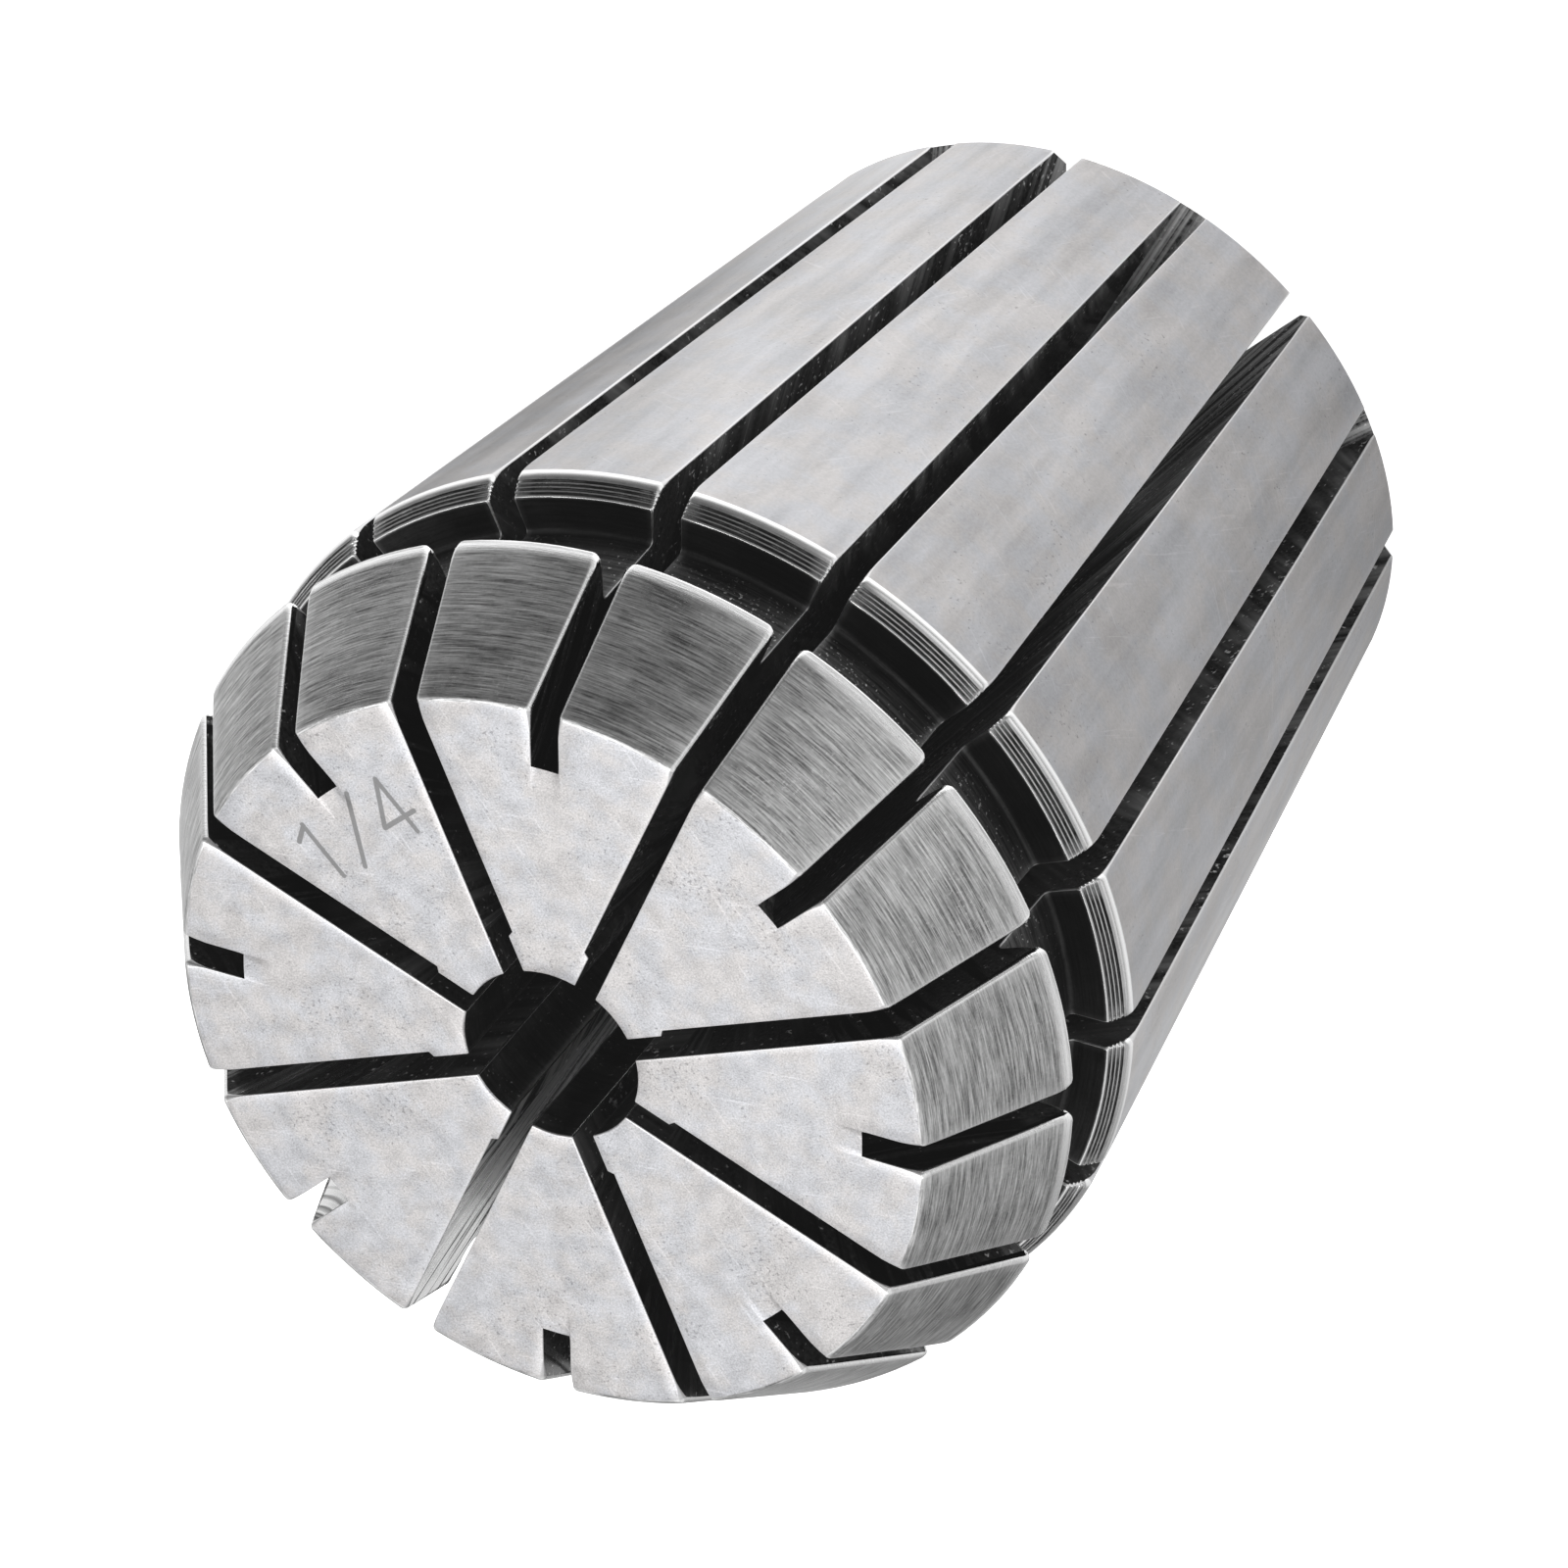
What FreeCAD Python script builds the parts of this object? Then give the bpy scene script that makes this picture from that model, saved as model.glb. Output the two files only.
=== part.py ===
import FreeCAD, Part
import Sketcher
import math
import os

# Spring collet of the 8 degree ER type, 32 size, for a 1/4 inch shank.
# It stands on its small end: the origin is the centre of the rear face and
# +Z is the collet's axis, towards the nose. Lengths in millimetres, angles in degrees.

# Driving dimensions
sizes = {
    # outside of the turned blank
    "total_length": 40.0,
    "body_diameter": 33.0,
    "body_taper": 8.0,
    "nose_angle": 30.0,
    "nose_height": 5.2,
    # extraction groove behind the nose and the ridged band below it
    "groove_width": 3.65,
    "groove_depth": 1.9,
    "band_height": 0.7,
    "band_drop": 0.55,
    "ridge_count": 4,
    "ridge_depth": 0.06,
    # small end
    "rim_height": 1.0,
    "rim_width": 1.05,
    # gripping bore and the wider relief behind it
    "bore_diameter": 6.35,
    "grip_length": 26.0,
    "relief_diameter": 10.0,
    "relief_cone": 59.0,
    "mouth_bevel": 0.3,
    # edges broken on the lathe
    "rim_break": 0.25,
    "big_end_break": 0.12,
    # saw slots, half of them from each end
    "slot_pairs": 4,
    "slot_width": 1.0,
    "slot_floor": 4.7,
    "saw_radius": 25.0,
    "rim_nick": 0.15,
    "notch_length": 2.15,
    # narrow cuts from the floor of the slots into the bore
    "cut_width": 0.8,
    # how far a cutter runs out into the air
    "overshoot": 1.0,
}

# Dependent sizes, as expressions in the driving ones
body_radius = "sizes.body_diameter / 2"
face_radius = f"({body_radius} - sizes.nose_height * tan(sizes.nose_angle))"
groove_radius = f"({body_radius} - sizes.groove_depth)"
lip_radius = f"({body_radius} - sizes.band_drop)"
bore_radius = "sizes.bore_diameter / 2"
relief_radius = "sizes.relief_diameter / 2"
total_length = "sizes.total_length"

# heights above the rear face, from the nose down
nose_edge = f"({total_length} - sizes.nose_height)"
groove_wall = f"({nose_edge} - sizes.groove_width)"
taper_top = f"({groove_wall} - sizes.band_height)"
rim_radius = f"({body_radius} - ({taper_top} - sizes.rim_height) * tan(sizes.body_taper))"
grip_end = f"({total_length} - sizes.grip_length)"
relief_end = f"({grip_end} - ({relief_radius} - {bore_radius}) / tan(sizes.relief_cone))"

# slots: each end has facing pairs, and the rear ones lie midway between the front ones
slots_per_end = "(sizes.slot_pairs * 2)"
half_pitch = f"(180 / {slots_per_end})"

# the saw leaves the steel at the rear rim, or at the notch on the front face
cutter_reach = f"({body_radius} + sizes.overshoot)"
front_depth = f"({rim_radius} - sizes.rim_nick - sizes.slot_floor)"
front_runout = f"sqrt(2 * sizes.saw_radius * {front_depth} - {front_depth}^2)"
front_turn = f"(sizes.rim_height + {front_runout})"
rear_depth = f"({face_radius} - sizes.notch_length - sizes.slot_floor)"
rear_runout = f"sqrt(2 * sizes.saw_radius * {rear_depth} - {rear_depth}^2)"
rear_turn = f"({total_length} - {rear_runout})"
front_open = f"({total_length} + sizes.overshoot)"
rear_open = "-sizes.overshoot"

doc = FreeCAD.newDocument("collet")


def fill_sheet():
    sheet = doc.addObject("Spreadsheet::Sheet", "sizes")
    for row, (name, value) in enumerate(sizes.items(), start=1):
        cell = f"A{row}"
        sheet.set(cell, str(value))
        sheet.setAlias(cell, name)
    doc.recompute()
    return sheet


def origin_feature(body, role):
    return next(feature for feature in body.Origin.OriginFeatures if feature.Role == role)


# Sketch on a plane through the axis, turned about the axis where an angle is given
def new_sketch(body, name, plane, turned=None):
    sketch = body.newObject("Sketcher::SketchObject", name)
    sketch.AttachmentSupport = [(origin_feature(body, plane), "")]
    sketch.MapMode = "FlatFace"
    if turned:
        angle = float(sketch.evalExpression(turned))
        up_the_sketch = FreeCAD.Vector(0, 1, 0)
        sketch.AttachmentOffset = FreeCAD.Placement(
            FreeCAD.Vector(0, 0, 0), FreeCAD.Rotation(up_the_sketch, angle))
        sketch.setExpression("AttachmentOffset.Rotation.Angle", turned)
    return sketch


# A point of a sketch is held by its distances from the origin, each bound to an expression
def hold_point(sketch, geometry, end, across=None, up=None):
    for kind, expression in (("DistanceX", across), ("DistanceY", up)):
        if expression is None:
            continue
        value = float(sketch.evalExpression(expression))
        if abs(value) < 1e-9:
            axis = -2 if kind == "DistanceX" else -1
            sketch.addConstraint(Sketcher.Constraint("PointOnObject", geometry, end, axis))
        elif value < 0:
            index = sketch.addConstraint(Sketcher.Constraint(kind, geometry, end, -1, 1, -value))
            sketch.setExpression(f"Constraints[{index}]", f"-({expression})")
        else:
            index = sketch.addConstraint(Sketcher.Constraint(kind, -1, 1, geometry, end, value))
            sketch.setExpression(f"Constraints[{index}]", expression)


# Closed outline of straight edges through corners given as pairs of expressions
def draw_outline(sketch, corners):
    places = [FreeCAD.Vector(sketch.evalExpression(across), sketch.evalExpression(up), 0)
              for across, up in corners]
    count = len(corners)
    for index in range(count):
        sketch.addGeometry(Part.LineSegment(places[index], places[(index + 1) % count]))
    for index in range(count):
        sketch.addConstraint(
            Sketcher.Constraint("Coincident", index, 2, (index + 1) % count, 1))
    for index, (across, up) in enumerate(corners):
        hold_point(sketch, index, 1, across, up)


# Side view of a saw slot: level floor, then the saw's own arc up and out of the steel
def draw_saw_slot(sketch, open_end, turn, heading):
    floor = float(sketch.evalExpression("sizes.slot_floor"))
    reach = float(sketch.evalExpression(cutter_reach))
    radius = float(sketch.evalExpression("sizes.saw_radius"))
    open_height = float(sketch.evalExpression(open_end))
    turn_height = float(sketch.evalExpression(turn))
    sweep = math.acos(1 - (reach - floor) / radius)
    leave_height = turn_height + heading * radius * math.sin(sweep)

    open_floor = FreeCAD.Vector(floor, open_height, 0)
    turn_point = FreeCAD.Vector(floor, turn_height, 0)
    leave_point = FreeCAD.Vector(reach, leave_height, 0)
    open_reach = FreeCAD.Vector(reach, open_height, 0)
    circle = Part.Circle(FreeCAD.Vector(floor + radius, turn_height, 0), FreeCAD.Vector(0, 0, 1), radius)
    if heading < 0:
        arc = Part.ArcOfCircle(circle, math.pi, math.pi + sweep)
        arc_turn, arc_leave = 1, 2
    else:
        arc = Part.ArcOfCircle(circle, math.pi - sweep, math.pi)
        arc_turn, arc_leave = 2, 1

    floor_line = sketch.addGeometry(Part.LineSegment(open_floor, turn_point))
    saw_arc = sketch.addGeometry(arc)
    side_line = sketch.addGeometry(Part.LineSegment(leave_point, open_reach))
    end_line = sketch.addGeometry(Part.LineSegment(open_reach, open_floor))
    for constraint in (
        Sketcher.Constraint("Tangent", floor_line, 2, saw_arc, arc_turn),
        Sketcher.Constraint("Coincident", saw_arc, arc_leave, side_line, 1),
        Sketcher.Constraint("Coincident", side_line, 2, end_line, 1),
        Sketcher.Constraint("Coincident", end_line, 2, floor_line, 1),
        Sketcher.Constraint("Vertical", floor_line),
        Sketcher.Constraint("Vertical", side_line),
        Sketcher.Constraint("Horizontal", end_line),
    ):
        sketch.addConstraint(constraint)
    hold_point(sketch, floor_line, 1, "sizes.slot_floor", open_end)
    hold_point(sketch, floor_line, 2, up=turn)
    hold_point(sketch, side_line, 2, across=cutter_reach)
    radius_index = sketch.addConstraint(Sketcher.Constraint("Radius", saw_arc, radius))
    sketch.setExpression(f"Constraints[{radius_index}]", "sizes.saw_radius")


# Names of the circular edges of a feature that lie at a given radius and height
def circles_at(feature, places):
    names = []
    for number, edge in enumerate(feature.Shape.Edges, start=1):
        if not isinstance(edge.Curve, Part.Circle):
            continue
        for radius, height in places:
            if abs(edge.Curve.Radius - radius) < 0.01 and abs(edge.Curve.Center.z - height) < 0.01:
                names.append(f"Edge{number}")
    return names


def break_edges(body, name, base, places, size):
    doc.recompute()
    spots = [(float(base.evalExpression(radius)), float(base.evalExpression(height)))
             for radius, height in places]
    edges = circles_at(base, spots)
    if len(edges) != len(places):
        raise RuntimeError(f"{name}: {len(edges)} edges found for {len(places)}")
    chamfer = body.newObject("PartDesign::Chamfer", name)
    chamfer.Base = (base, edges)
    chamfer.setExpression("Size", size)
    return chamfer


# Cut on both sides of the sketch's plane, then repeated round the axis
def cut_and_repeat(body, name, sketch, one_side, other_side, count, turn):
    before = body.Shape.Volume
    pocket = body.newObject("PartDesign::Pocket", name)
    pocket.Profile = sketch
    pocket.SideType = "Two sides"
    pocket.Refine = False
    pocket.setExpression("Length", one_side)
    pocket.setExpression("Length2", other_side)
    repeat = body.newObject("PartDesign::PolarPattern", name + "_round")
    repeat.Originals = [pocket]
    repeat.Axis = (origin_feature(body, "Z_Axis"), [""])
    repeat.Mode = "Extent"
    repeat.Refine = False
    repeat.setExpression("Occurrences", count)
    repeat.setExpression("Angle", turn)
    body.Tip = repeat
    doc.recompute()
    if body.Shape.Volume >= before:
        raise RuntimeError(f"{name} removed nothing")


# Corners of the ridged band, from the lip up the slope to just short of the taper's big end:
# each ridge ends in a turned line, cut square to the slope
def ridge_corners():
    slope = "sqrt(sizes.band_drop^2 + sizes.band_height^2)"
    corners = []
    for number in range(1, sizes["ridge_count"] + 1):
        share = f"({number} / (sizes.ridge_count + 1))"
        across = f"{lip_radius} + sizes.band_drop * {share}"
        up = f"{groove_wall} - sizes.band_height * {share}"
        corners.append((f"{across} - sizes.ridge_depth * sizes.band_height / {slope}",
                        f"{up} - sizes.ridge_depth * sizes.band_drop / {slope}"))
        corners.append((across, up))
    return corners


# Turned blank: everything a lathe makes, in one revolved outline
def turn_blank(body):
    sketch = new_sketch(body, "blank_outline", "XZ_Plane")
    draw_outline(sketch, [
        (relief_radius, "0"),
        (f"{rim_radius} - sizes.rim_width", "0"),
        (rim_radius, "sizes.rim_height"),
        (body_radius, taper_top),
        *reversed(ridge_corners()),
        (lip_radius, groove_wall),
        (groove_radius, groove_wall),
        (groove_radius, nose_edge),
        (body_radius, nose_edge),
        (face_radius, total_length),
        (f"{bore_radius} + sizes.mouth_bevel", total_length),
        (bore_radius, f"{total_length} - sizes.mouth_bevel"),
        (bore_radius, grip_end),
        (relief_radius, relief_end),
    ])
    blank = body.newObject("PartDesign::Revolution", "blank")
    blank.Profile = sketch
    blank.ReferenceAxis = (sketch, ["V_Axis"])
    blank.Angle = 360.0
    rims = break_edges(body, "broken_rims", blank, [
        (face_radius, total_length),
        (body_radius, nose_edge),
    ], "sizes.rim_break")
    break_edges(body, "broken_big_end", rims, [(body_radius, taper_top)], "sizes.big_end_break")


# Slots: one saw width, centred on a plane through the axis
def saw_slots(body, name, turned, open_end, turn, heading):
    sketch = new_sketch(body, name + "_side", "YZ_Plane", turned)
    draw_saw_slot(sketch, open_end, turn, heading)
    half_width = "sizes.slot_width / 2"
    cut_and_repeat(body, name, sketch, half_width, half_width, slots_per_end, "360")


# Narrow cuts: straight through the bore and into two facing slots, flush with one wall of
# each and stepped in from the other
def bore_cuts(body, name, turned, open_end, turn):
    sketch = new_sketch(body, name + "_side", "YZ_Plane", turned)
    into_slot = "(sizes.slot_floor + sizes.overshoot)"
    draw_outline(sketch, [
        (f"-{into_slot}", open_end),
        (into_slot, open_end),
        (into_slot, turn),
        (f"-{into_slot}", turn),
    ])
    flush = "sizes.slot_width / 2"
    stepped = "sizes.cut_width - sizes.slot_width / 2"
    cut_and_repeat(body, name, sketch, flush, stepped, "sizes.slot_pairs", f"180 - 2 * {half_pitch}")


def build_collet():
    body = doc.addObject("PartDesign::Body", "collet")
    body.Label = "collet"
    turn_blank(body)
    # sawn from the nose: through the front face, running out at the rear rim
    saw_slots(body, "front_slot", None, front_open, front_turn, -1)
    bore_cuts(body, "front_bore_cut", None, front_open, front_turn)
    # sawn from the small end: short notches are all that shows of them on the front face
    saw_slots(body, "rear_slot", half_pitch, rear_open, rear_turn, 1)
    bore_cuts(body, "rear_bore_cut", half_pitch, rear_open, rear_turn)
    return body


def check_and_export(parts):
    doc.recompute()
    for item in doc.Objects:
        if {"Invalid", "Error"} & set(item.State):
            raise RuntimeError(f"{item.Name} failed: {item.State}")
    os.makedirs("parts", exist_ok=True)
    for part in parts:
        shape = part.Shape
        if shape.isNull() or not shape.isValid() or len(shape.Solids) != 1:
            raise RuntimeError(f"{part.Label} is not one valid solid")
        shape.exportStep(os.path.join("parts", part.Label + ".step"))
        print(part.Label, "volume", round(shape.Volume, 1), "faces", len(shape.Faces))


fill_sheet()
check_and_export([build_collet()])
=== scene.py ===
import math

import bpy
from mathutils import Matrix, Vector


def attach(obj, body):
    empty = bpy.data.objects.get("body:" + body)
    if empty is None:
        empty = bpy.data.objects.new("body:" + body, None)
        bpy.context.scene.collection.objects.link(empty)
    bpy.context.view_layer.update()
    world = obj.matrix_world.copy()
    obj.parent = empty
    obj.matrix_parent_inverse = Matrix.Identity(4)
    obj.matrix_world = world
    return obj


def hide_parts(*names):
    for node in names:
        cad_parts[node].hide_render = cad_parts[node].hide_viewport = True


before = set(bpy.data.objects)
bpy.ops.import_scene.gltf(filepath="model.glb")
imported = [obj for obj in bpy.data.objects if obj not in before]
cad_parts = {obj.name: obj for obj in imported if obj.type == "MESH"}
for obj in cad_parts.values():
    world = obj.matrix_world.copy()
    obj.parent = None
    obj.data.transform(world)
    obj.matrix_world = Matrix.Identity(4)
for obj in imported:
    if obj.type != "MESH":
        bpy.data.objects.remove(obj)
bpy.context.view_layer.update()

millimetre = 0.001

# Standard keeps the steel's greys as they are lit; a photograph's blacks are a little lifted
viewSettings = {"transform": "Standard", "blackLift": 0.007}


def setView():
    view = bpy.context.scene.view_settings
    view.view_transform = viewSettings["transform"]
    view.use_curve_mapping = True
    curves = view.curve_mapping
    curves.curves[3].points[0].location = (0.0, viewSettings["blackLift"])
    curves.update()


setView()


def finishPiece(piece):
    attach(piece, "root")


# Puts an object's evaluated mesh in place of its modifiers
def bakeModifiers(piece):
    depsgraph = bpy.context.evaluated_depsgraph_get()
    baked = bpy.data.meshes.new_from_object(
        piece.evaluated_get(depsgraph), preserve_all_data_layers=True, depsgraph=depsgraph)
    piece.modifiers.clear()
    piece.data = baked
    return baked


def newPiece(name, mesh):
    piece = bpy.data.objects.new(name, mesh)
    bpy.context.scene.collection.objects.link(piece)
    return piece


def heading(azimuth, elevation=0):
    azimuth, elevation = math.radians(azimuth), math.radians(elevation)
    return Vector((math.cos(elevation) * math.cos(azimuth),
                   math.cos(elevation) * math.sin(azimuth), math.sin(elevation)))


# Node helpers: an input that is a socket is linked, any other is set
def addNode(tree, kind, inputs=None, **settings):
    node = tree.nodes.new(kind)
    for key, value in settings.items():
        setattr(node, key, value)
    for key, value in (inputs or {}).items():
        if isinstance(value, bpy.types.NodeSocket):
            tree.links.new(value, node.inputs[key])
        else:
            node.inputs[key].default_value = value
    return node


def mathNode(tree, operation, *values):
    return addNode(tree, "ShaderNodeMath", dict(enumerate(values)), operation=operation).outputs[0]


def plus(tree, first, *others):
    for other in others:
        first = mathNode(tree, "ADD", first, other)
    return first


def minus(tree, first, second):
    return mathNode(tree, "SUBTRACT", first, second)


def times(tree, first, *others):
    for other in others:
        first = mathNode(tree, "MULTIPLY", first, other)
    return first


def clamped(tree, value):
    return addNode(tree, "ShaderNodeClamp", {0: value}).outputs[0]


def vectorNode(tree, operation, *values, output="Vector"):
    node = addNode(tree, "ShaderNodeVectorMath", dict(enumerate(values)), operation=operation)
    return node.outputs[output]


def scaled(tree, vector, factor):
    return addNode(tree, "ShaderNodeVectorMath", {0: vector, "Scale": factor}, operation="SCALE").outputs[0]


def joinXYZ(tree, x=0.0, y=0.0, z=0.0):
    return addNode(tree, "ShaderNodeCombineXYZ", {0: x, 1: y, 2: z}).outputs[0]


# How squarely a direction points at a heading: 1 is straight at it, 0 across, -1 away
def pointing(tree, direction, azimuth, elevation=0):
    return vectorNode(tree, "DOT_PRODUCT", direction, tuple(heading(azimuth, elevation)), output="Value")


def noiseNode(tree, vector, scale=1.0, detail=3.0, roughness=0.5, distortion=0.0):
    return addNode(tree, "ShaderNodeTexNoise", {
        "Vector": vector, "Scale": scale, "Detail": detail, "Roughness": roughness,
        "Distortion": distortion}).outputs["Fac"]


def mapRange(tree, value, low, high, newLow=0.0, newHigh=1.0):
    return addNode(tree, "ShaderNodeMapRange", {
        "Value": value, "From Min": low, "From Max": high,
        "To Min": newLow, "To Max": newHigh}, clamp=True).outputs["Result"]


def mixColour(tree, factor, first, second, blend="MIX"):
    return addNode(tree, "ShaderNodeMix", {0: factor, 6: first, 7: second},
                   data_type="RGBA", blend_type=blend).outputs[2]


def grey(value):
    return (value, value, value, 1.0)


def newShaderGroup(name, inputs, outputs):
    group = bpy.data.node_groups.new(name, "ShaderNodeTree")
    for label, value in inputs.items():
        socket = group.interface.new_socket(label, in_out="INPUT", socket_type="NodeSocketFloat")
        socket.default_value = value
    for label in outputs:
        group.interface.new_socket(label, in_out="OUTPUT", socket_type="NodeSocketFloat")
    return group, addNode(group, "NodeGroupInput").outputs, addNode(group, "NodeGroupOutput").inputs


def groupOutput(tree, group, inputs, output):
    node = tree.nodes.new("ShaderNodeGroup")
    node.node_tree = group
    for key, value in inputs.items():
        node.inputs[key].default_value = value
    return node.outputs[output]


def newMaterial(name, metallic=1.0, roughness=0.35):
    material = bpy.data.materials.new(name)
    material.use_nodes = True
    tree = material.node_tree
    shader = tree.nodes["Principled BSDF"]
    shader.inputs["Metallic"].default_value = metallic
    shader.inputs["Roughness"].default_value = roughness
    return material, tree, shader


def bumpFrom(tree, height, strength, distance):
    return addNode(tree, "ShaderNodeBump", {
        "Height": height, "Strength": strength, "Distance": distance}).outputs["Normal"]


# Place on the collet in millimetres: as a vector, x, y, height, distance from the axis
def colletPlace(tree):
    place = scaled(tree, addNode(tree, "ShaderNodeTexCoord").outputs["Object"], 1 / millimetre)
    x, y, height = addNode(tree, "ShaderNodeSeparateXYZ", {0: place}).outputs
    radius = mathNode(tree, "SQRT", plus(tree, times(tree, x, x), times(tree, y, y)))
    return place, x, y, height, radius


# Lines that run round the axis, as a turning tool or a grinding wheel leaves them
def makeTurnedLines():
    group, given, result = newShaderGroup("turnedLines", {
        "Radial Share": 0.0, "Axial Share": 1.0, "Along": 0.5, "Across": 20.0, "Seed": 0.0}, ["Lines"])
    _, x, y, height, radius = colletPlace(group)
    across = plus(group, times(group, radius, given["Radial Share"]),
                  times(group, height, given["Axial Share"]))
    stretched = joinXYZ(group, times(group, x, given["Along"]), times(group, y, given["Along"]),
                        plus(group, times(group, across, given["Across"]), given["Seed"]))
    group.links.new(noiseNode(group, stretched, roughness=0.75), result["Lines"])
    return group


# Small dark pits and grains, few and uneven
def makeSpeckle():
    group, given, result = newShaderGroup("speckle", {
        "Scale": 8.0, "Amount": 0.3, "Amount Share": 0.3, "Patch Scale": 0.35, "Patch Share": 0.35,
        "Limit": 0.8, "Contrast": 10.0, "Seed": 0.0}, ["Mask"])
    place, *_ = colletPlace(group)
    shifted = vectorNode(group, "ADD", place, given["Seed"])
    fine = noiseNode(group, shifted, given["Scale"], detail=2.0)
    patch = noiseNode(group, shifted, given["Patch Scale"], detail=2.0)
    level = plus(group, fine, times(group, minus(group, patch, 0.5), given["Patch Share"]))
    limit = minus(group, given["Limit"], times(group, given["Amount"], given["Amount Share"]))
    mask = clamped(group, times(group, minus(group, level, limit), given["Contrast"]))
    group.links.new(mask, result["Mask"])
    return group


# Broad cloudy change of shade
def makeClouding():
    group, given, result = newShaderGroup("clouding", {"Scale": 0.5, "Seed": 0.0}, ["Shade"])
    place, *_ = colletPlace(group)
    shifted = vectorNode(group, "ADD", place, given["Seed"])
    group.links.new(noiseNode(group, shifted, given["Scale"], detail=4.0, roughness=0.6), result["Shade"])
    return group


# Marks that the saw's teeth leave: arcs on a slot's walls, streaks along its floor
def makeSawMarks():
    group, given, result = newShaderGroup("sawMarks", {
        "Saw Radius": 25.0, "Slot Floor": 4.7, "Arc Share": 8.0, "Aside Share": 0.0, "Along": 0.3,
        "Pitch": 22.5, "Slot Shift": 7.3, "Seed": 0.0}, ["Marks"])
    _, x, y, height, radius = colletPlace(group)
    pitch = mathNode(group, "RADIANS", given["Pitch"])
    # two whole turns more, so that no slot has a negative number
    turn = plus(group, mathNode(group, "ARCTAN2", y, x), 4 * math.pi)
    slot = mathNode(group, "ROUND", mathNode(group, "DIVIDE", turn, pitch))
    aside = times(group, radius, mathNode(group, "SINE", minus(group, turn, times(group, slot, pitch))))
    # even slots are sawn from the front, odd ones from the rear
    odd = mathNode(group, "MODULO", slot, 2.0)
    sawnWay = minus(group, times(group, odd, 2.0), 1.0)
    sawRadius = given["Saw Radius"]
    inward = minus(group, plus(group, sawRadius, given["Slot Floor"]), radius)
    reachSquared = minus(group, times(group, sawRadius, sawRadius), times(group, inward, inward))
    reach = mathNode(group, "SQRT", mathNode(group, "MAXIMUM", 0.0, reachSquared))
    arc = plus(group, height, times(group, sawnWay, reach))
    across = plus(group, times(group, arc, given["Arc Share"]), times(group, aside, given["Aside Share"]))
    stretched = joinXYZ(group, across, times(group, plus(group, radius, height), given["Along"]),
                        plus(group, times(group, slot, given["Slot Shift"]), given["Seed"]))
    group.links.new(noiseNode(group, stretched, roughness=0.7, distortion=0.1), result["Marks"])
    return group


# Soft bands down each petal where it has been handled and seated
def makePetalBands():
    group, given, result = newShaderGroup("petalBands", {
        "Turn": 11.0, "Along": 0.10, "Seed": 0.0}, ["Bands"])
    _, x, y, height, _ = colletPlace(group)
    radial = vectorNode(group, "NORMALIZE", joinXYZ(group, x, y))
    shift = joinXYZ(group, z=plus(group, times(group, height, given["Along"]), given["Seed"]))
    stretched = vectorNode(group, "ADD", scaled(group, radial, given["Turn"]), shift)
    group.links.new(noiseNode(group, stretched, roughness=0.6), result["Bands"])
    return group


# Short hair scratches in one direction, on the round skin or on the flat face
def makeHairlines():
    group, given, result = newShaderGroup("hairlines", {
        "Flat Share": 0.0, "Round Radius": 15.0, "Direction": 60.0, "Length Share": 0.5, "Across": 9.0,
        "Limit": 0.64, "Patch Scale": 0.12, "Contrast": 14.0, "Seed": 0.0}, ["Mask"])
    _, x, y, height, _ = colletPlace(group)
    roundX = times(group, mathNode(group, "ARCTAN2", y, x), given["Round Radius"])
    rest = minus(group, 1.0, given["Flat Share"])

    def share(flat, wound):
        return plus(group, times(group, flat, given["Flat Share"]), times(group, wound, rest))

    turned = addNode(group, "ShaderNodeVectorRotate", {
        "Vector": joinXYZ(group, share(x, roundX), share(y, height)),
        "Angle": mathNode(group, "RADIANS", given["Direction"])}, rotation_type="Z_AXIS").outputs[0]
    shares = joinXYZ(group, given["Length Share"], given["Across"])
    stretched = vectorNode(group, "MULTIPLY", turned, shares)
    shifted = vectorNode(group, "ADD", stretched, given["Seed"])
    hairs = noiseNode(group, shifted, detail=1.0, distortion=0.8)
    patch = noiseNode(group, shifted, given["Patch Scale"], detail=1.0)
    contrast = mapRange(group, patch, 0.48, 0.62, 0.0, given["Contrast"])
    mask = clamped(group, times(group, minus(group, hairs, given["Limit"]), contrast))
    group.links.new(mask, result["Mask"])
    return group


# One straight stroke with round ends, drawn on the plane across the axis
def makeStroke():
    group, given, result = newShaderGroup("stroke", {
        "Start X": 0.0, "Start Y": 0.0, "End X": 1.0, "End Y": 0.0, "Half Width": 0.1,
        "Contrast": 40.0}, ["Mask"])
    _, x, y, _, _ = colletPlace(group)
    along = [minus(group, given["End " + axis], given["Start " + axis]) for axis in "XY"]
    offset = [minus(group, place, given["Start " + axis]) for place, axis in ((x, "X"), (y, "Y"))]

    def dot(first, second):
        return plus(group, *(times(group, one, other) for one, other in zip(first, second)))

    share = clamped(group, mathNode(group, "DIVIDE", dot(offset, along), dot(along, along)))
    gap = [minus(group, out, times(group, way, share)) for out, way in zip(offset, along)]
    inner = minus(group, given["Half Width"], mathNode(group, "SQRT", dot(gap, gap)))
    group.links.new(clamped(group, times(group, inner, given["Contrast"])), result["Mask"])
    return group


turnedLines = makeTurnedLines()
speckle = makeSpeckle()
clouding = makeClouding()
sawMarks = makeSawMarks()
petalBands = makePetalBands()
hairlines = makeHairlines()
stroke = makeStroke()

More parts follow.
